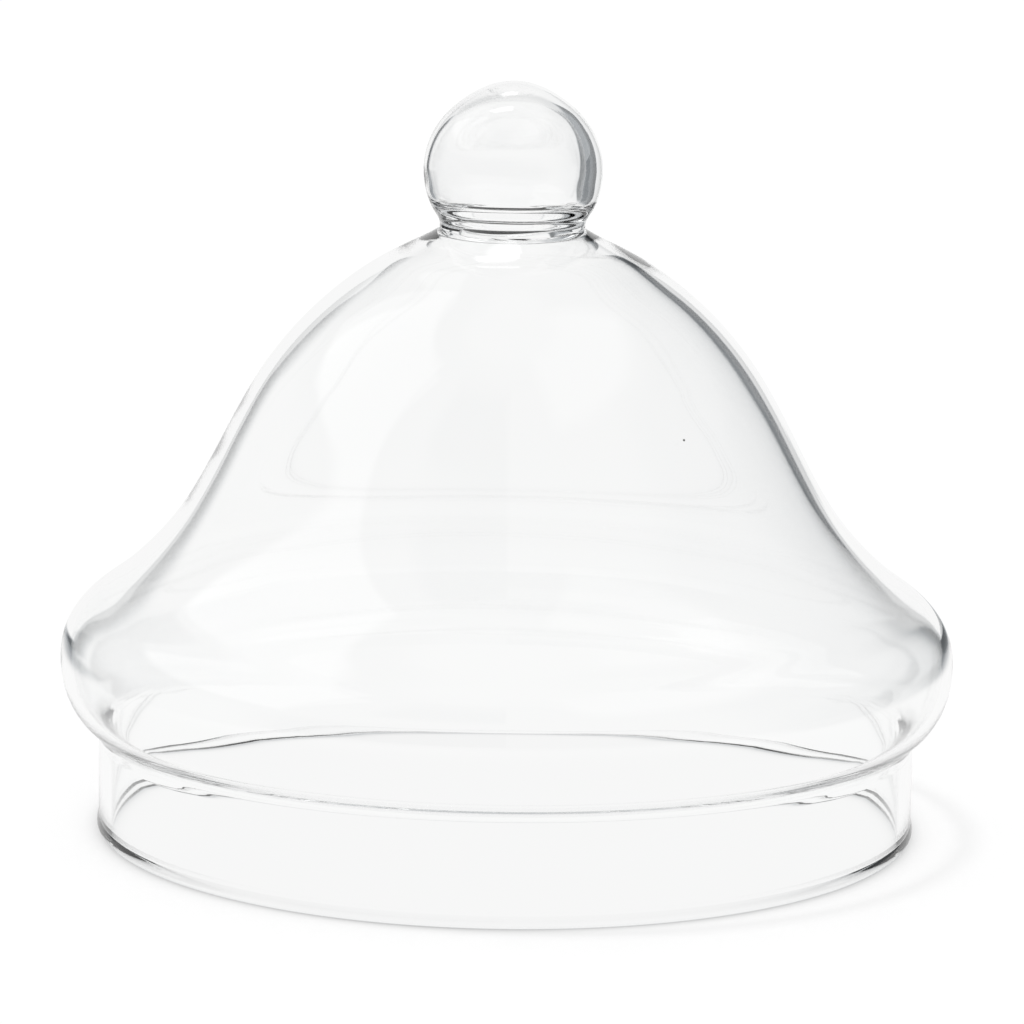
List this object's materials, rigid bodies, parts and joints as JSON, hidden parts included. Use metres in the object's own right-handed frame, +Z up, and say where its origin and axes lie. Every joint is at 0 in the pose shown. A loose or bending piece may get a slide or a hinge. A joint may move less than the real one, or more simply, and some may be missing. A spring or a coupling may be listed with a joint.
{
  "type": "glass bell jar dome",
  "caption": "Clear blown-glass display dome: hollow ball knob, narrow waist, flared bell with a rolled bulge, straight collar and beaded rim, open below.",
  "frame": {"origin": "centre of the rim plane, on the surface the dome stands on", "axes": "+Z up along the dome's axis, from the rim to the knob; +X and +Y any pair of horizontal directions, as the dome is round"},
  "size_m": [0.1968, 0.1966, 0.1657],
  "materials": {
    "clear_glass": "clear polished blown glass",
    "seal_glass": "flame-sealed glass, slightly rough scar"
  },
  "bodies": {
    "root": {"rim_bead": "clear_glass", "base_collar": "clear_glass", "bell_shell": "clear_glass", "neck_seal_ring": "clear_glass", "knob_bulb": "clear_glass", "knob_seal_tip": "seal_glass"}
  },
  "joints": []
}
